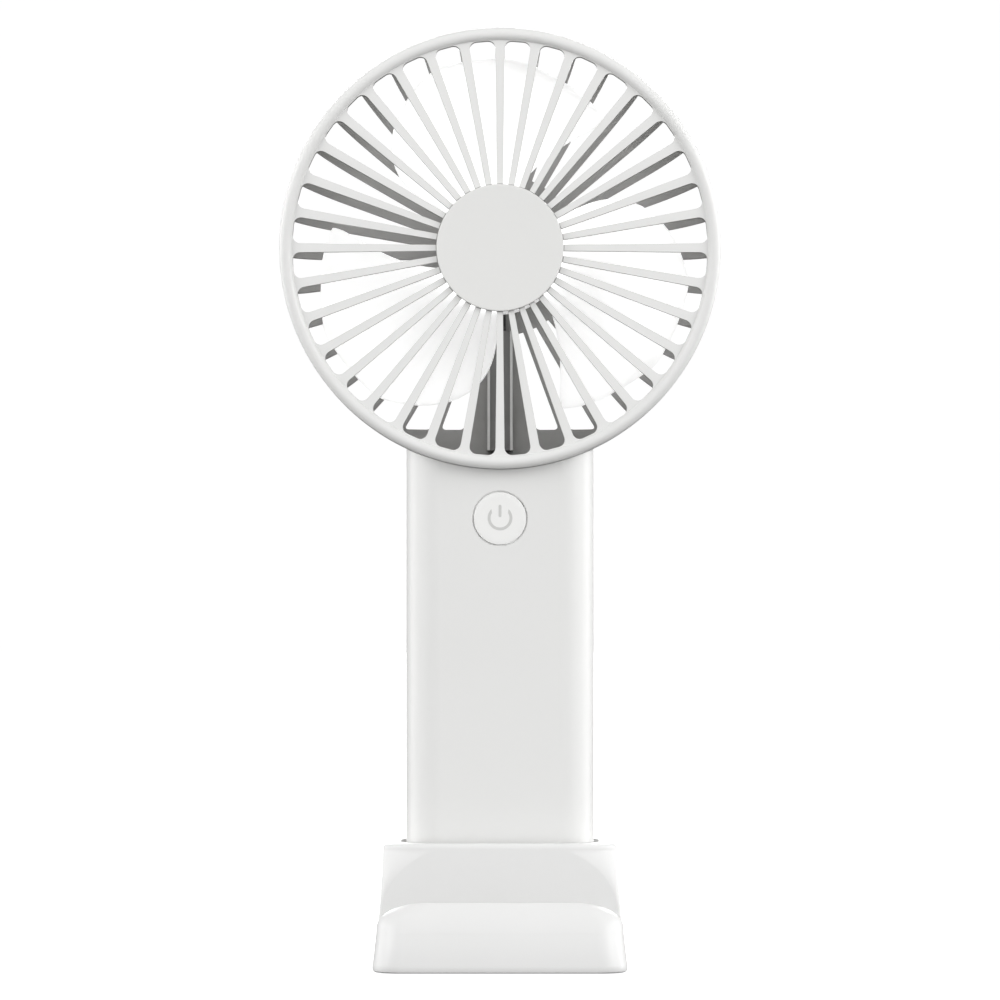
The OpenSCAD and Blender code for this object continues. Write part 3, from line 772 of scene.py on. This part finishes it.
ink_arc = turned(
    "symbol_arc",
    [(2.15 * MM, -0.08 * MM), (2.15 * MM, 0), (2.8 * MM, 0), (2.8 * MM, -0.08 * MM)],
    96,
)
gap = raised("symbol_gap", [(-1.7 * MM, 0), (1.7 * MM, 0), (2.4 * MM, 6 * MM), (-2.4 * MM, 6 * MM)], -MM, MM)
cut(ink_arc, gap)
bar = block("symbol_bar", (-0.33 * MM, 0.2 * MM, -0.08 * MM), (0.33 * MM, 3.0 * MM, 0))
edit(bar)
pick("EDGE", lambda at, to: abs(to.z) > 0.99)
bpy.ops.mesh.bevel(offset=0.28 * MM, segments=4, affect="EDGES")
leave()
symbol = joined("power_symbol", [ink_arc, bar])
symbol_place = Matrix.Translation((0, handle_front + 0.03 * MM, button_z + 0.1 * MM))
symbol.data.transform(symbol_place @ Matrix.Rotation(math.radians(90), 4, "X"))
finished(symbol, "button", symbol_ink, "button_plastic")

# Dock -----------------------------------------------------------------------

slot_front = 21.5 * MM
slot_back = 8.6 * MM
lip_end = 10.5 * MM
lip_h = 15.4 * MM


def side(z):
    return 28.5 * MM - 2.1 * MM * (1 - max(0, 1 - z / collar_h) ** 1.6)


def front(z):
    return -slot_front - 8.5 * MM * math.sqrt(max(0, 1 - (z / (lip_h + 0.2 * MM)) ** 2))


def rear(z):
    return 30 * MM - 1.5 * MM * z / collar_h


def plan(half, low, high, corner, depth, rear_r, lean=0):
    """Outline seen from above; lean is the angle at which a front corner leaves the front plane."""
    swell_x = corner / (1 - math.sin(math.radians(lean)))
    swell_y = depth / math.cos(math.radians(lean))
    right = arc(half - swell_x, low + depth, swell_x, swell_y, -90 + lean, 0, 12)
    if rear_r:
        right += arc(half - rear_r, high - rear_r, rear_r, rear_r, 0, 90, 12)
    else:
        right += [(half, high)]
    return right + [(-x, y) for x, y in reversed(right)]


def tray_plan(z, inset=0):
    inset += 0.03 * MM
    return plan(side(z) - inset, front(z) + inset, rear(z) - inset, 6.5 * MM, 6.5 * MM, 9 * MM)


tray = lofted(
    "dock_tray",
    [(dock_base, tray_plan(0, 0.6 * MM)), (0.55 * MM, tray_plan(0, 0.25 * MM)), (1.2 * MM, tray_plan(MM))]
    + [(z * MM, tray_plan(z * MM)) for z in (2, 3.5, 5, 6.5, 8, 9, 9.6)],
)


def lip_half(z):
    t = max(0, min(1, (z - lip_end) / (lip_h - lip_end)))
    return 16.7 * MM + (side(z) - 16.7 * MM) * math.sqrt(1 - t * t)


def lip_plan(z):
    t = max(0, min(1, (z - lip_end) / (lip_h - lip_end)))
    room = -slot_front - front(z)
    return plan(lip_half(z), front(z), -slot_front, (6.5 - 2 * t) * MM, min(6.4 * MM, room * 0.96), 0)


lip = lofted(
    "dock_lip",
    [(z * MM, lip_plan(z * MM)) for z in (9, 9.8)]
    + [(lip_end + (lip_h - lip_end) * t, lip_plan(lip_end + (lip_h - lip_end) * t))
       for t in (0, 0.1, 0.25, 0.4, 0.55, 0.68, 0.79, 0.87, 0.93, 0.97, 0.99, 1)],
)


def cut_back(z):
    """How wide a front corner of the collar is cut back at a height."""
    t = min(1, max(0, (z - lip_end - 0.8 * MM) / (14.8 * MM)))
    return 10.4 * MM * t**2.9


def collar_plan(z, inset=0):
    width = cut_back(z)
    lean = 30 * min(1, width / (2 * MM))
    corner, depth = 0.8 * MM + width, 0.8 * MM + 0.4 * width
    return plan(side(z) - inset, -slot_back + inset, rear(z) - inset, corner, depth, 9 * MM, lean)


rim_round = 1.2 * MM
collar = lofted(
    "dock_collar",
    [(8.8 * MM, collar_plan(8.8 * MM))]
    + [(z * MM, collar_plan(z * MM)) for z in (11, 13, 15, 17, 19, 20.5, 22, 23, 24, 24.8, 25.5, 26.1, 26.6)]
    + [
        (collar_h - rim_round + rim_round * math.sin(math.radians(a)),
         collar_plan(collar_h, rim_round * 0.62 * (1 - math.cos(math.radians(a)))))
        for a in (15, 30, 45, 60, 75, 90)
    ],
)
dock = fused(tray, lip, collar)
dock.name = "dock_shell_shaped"


def column(name, margin, low, high):
    """The handle's outline, grown by a margin, as a cutter."""
    piece = block(
        name,
        (-handle_w / 2 - margin, handle_front - margin, low),
        (handle_w / 2 + margin, handle_back + margin, high),
    )
    edit(piece)
    pick("EDGE", lambda at, to: abs(to.z) > 0.99)
    bpy.ops.mesh.bevel(offset=handle_edge_r + margin, segments=14, affect="EDGES")
    leave()
    return piece


belly = block(
    "dock_belly", (-25.5 * MM, -26.5 * MM, -MM), (25.5 * MM, 27 * MM, handle_base - 2 * MM)
)
edit(belly)
pick("EDGE", lambda at, to: abs(to.z) > 0.99)
bpy.ops.mesh.bevel(offset=5 * MM, segments=6, affect="EDGES")
leave()
cut(
    dock,
    column("socket", 0.35 * MM, handle_base, collar_h + MM),
    column("socket_rim", 1.3 * MM, collar_h - 1.5 * MM, collar_h + MM),
    belly,
)
eased(dock, 0.45 * MM, 3, 32)
finished(dock, "dock", white_dock, "dock_plastic", "dock_shell", angle=30)

# Remaining CAD pieces keep their shape and get their finishes ---------------


def metal(name, colour, rough):
    """Metal with fine turning or brushing marks."""
    finish = Finish(name, Metallic=1.0)
    smear = finish.noise(140, 4)
    dark = tuple(c * 0.86 for c in colour)
    finish.feed("Base Color", finish.mix(smear, (*dark, 1), (*colour, 1)))
    finish.feed("Roughness", smear * 0.16 + (rough - 0.08))
    finish.bump(finish.noise(2400, 2), 0.004 * MM, 0.4)
    return finish.material


finishes = {
    "base_plastic": moulded_plastic("satin_base_plastic", (0.8, 0.8, 0.79), (0.76, 0.76, 0.75), 0.5),
    "screw_steel": metal("zinc_screw_steel", (0.6, 0.61, 0.62), 0.35),
    "pad_rubber": moulded_plastic(
        "matt_pad_rubber", (0.035, 0.035, 0.035), (0.025, 0.025, 0.025), 0.8, 1500, 0.05
    ),
    "head_plastic": white_head,
    "badge_plastic": white_badge,
    "guard_plastic": grey_guard_shaded,
    "blade_plastic": glowing_white_blade,
    "cup_steel": metal("plain_cup_steel", (0.62, 0.62, 0.63), 0.3),
    "magnet": moulded_plastic("sintered_magnet", (0.05, 0.05, 0.055), (0.03, 0.03, 0.035), 0.6, 1700, 0.03),
    "shaft_steel": metal("ground_shaft_steel", (0.75, 0.75, 0.76), 0.18),
    "tube_brass": metal("turned_brass", (0.78, 0.6, 0.28), 0.28),
    "core_steel": metal("stacked_core_steel", (0.3, 0.31, 0.33), 0.45),
    "coil_copper": metal("enamelled_copper", (0.72, 0.3, 0.13), 0.3),
    "board": moulded_plastic("green_board", (0.03, 0.2, 0.09), (0.02, 0.14, 0.06), 0.35, 900),
    "lead_sheath": moulded_plastic("dark_lead_sheath", (0.05, 0.05, 0.05), (0.03, 0.03, 0.03), 0.4),
    "handle_plastic": white_shell,
    "button_plastic": white_button,
    "part_black": black_part,
    "light_pipe": moulded_plastic("clear_light_pipe", (0.75, 0.8, 0.82), (0.7, 0.75, 0.78), 0.15),
    "cell_can": moulded_plastic("blue_cell_wrap", (0.04, 0.16, 0.4), (0.03, 0.12, 0.32), 0.3),
    "strip_nickel": metal("nickel_strip", (0.66, 0.64, 0.6), 0.3),
    "foam": moulded_plastic("grey_foam", (0.1, 0.1, 0.1), (0.06, 0.06, 0.06), 0.9, 1100, 0.12),
    "dock_plastic": white_dock,
}
for entry in frame["record"]["subparts"]:
    node = frame["nodes"][entry["node"]]
    node.data.materials.clear()
    node.data.materials.append(finishes[entry["material_slot"]])

# Floor and light ------------------------------------------------------------


def glowing(name, colour, strength, rough=0.9):
    finish = Finish(name, Roughness=rough, Emission_Strength=strength)
    finish.feed("Base Color", finish.mix(finish.noise(3), (*colour, 1), (*(c * 0.98 for c in colour), 1)))
    finish.shader.inputs["Emission Color"].default_value = (1, 1, 1, 1)
    return finish.material


nothing_selected()
bpy.ops.mesh.primitive_plane_add(size=16, location=(0, 0, 0))
floor = named("floor")
floor.data.materials.append(glowing("pale_floor", (0.92, 0.92, 0.92), 0.8))
nothing_selected()
bpy.ops.mesh.primitive_uv_sphere_add(segments=48, ring_count=24, radius=10)
backdrop = named("backdrop")
backdrop.data.materials.append(glowing("white_backdrop", (0, 0, 0), 1.0))
for staged in (floor, backdrop):
    staged.visible_diffuse = False
    staged.visible_glossy = False
    staged.visible_transmission = False
backdrop.visible_shadow = False


def soft_light(name, at, towards, width, height, power):
    nothing_selected()
    bpy.ops.object.light_add(type="AREA", location=at)
    light = bpy.context.object
    light.name = name
    light.data.shape = "RECTANGLE"
    light.data.size = width
    light.data.size_y = height
    light.data.energy = power
    light.rotation_euler = (Vector(towards) - Vector(at)).to_track_quat("-Z", "Y").to_euler()
    return light


soft_light("front_left", (-1.25, -0.6, 0.62), (0, 0, 0.12), 0.7, 0.7, 9)
soft_light("front_right", (1.25, -0.6, 0.62), (0, 0, 0.12), 0.7, 0.7, 11)
soft_light("left", (-1.0, 0.3, 0.3), (0, 0, 0.12), 0.45, 0.9, 5)
soft_light("right", (1.0, 0.3, 0.3), (0, 0, 0.12), 0.45, 0.9, 6.5)
soft_light("back", (0, 1.0, 0.5), (0, 0, 0.16), 0.8, 0.5, 10)

world = bpy.data.worlds.new("studio")
bpy.context.scene.world = world
world.use_nodes = True
sky = world.node_tree
place = sky.nodes.new("ShaderNodeTexCoord")
facing = sky.nodes.new("ShaderNodeVectorMath")
facing.operation = "DOT_PRODUCT"
facing.inputs[1].default_value = (0, -0.93, 0.37)
lift = sky.nodes.new("ShaderNodeMapRange")
lift.inputs["From Min"].default_value = -1
ramp = sky.nodes.new("ShaderNodeValToRGB")
sky.links.new(place.outputs["Generated"], facing.inputs[0])
sky.links.new(facing.outputs["Value"], lift.inputs["Value"])
sky.links.new(lift.outputs["Result"], ramp.inputs["Fac"])
stops = ramp.color_ramp.elements
stops[0].position, stops[0].color = 0.1, (0.06, 0.06, 0.06, 1)
stops[1].position, stops[1].color = 0.9, (1.05, 1.05, 1.05, 1)
middle = stops.new(0.5)
middle.color = (0.36, 0.36, 0.36, 1)
sky.links.new(ramp.outputs["Color"], sky.nodes["Background"].inputs["Color"])
sky.nodes["Background"].inputs["Strength"].default_value = 0.82
bpy.context.scene.view_settings.view_transform = "Standard"
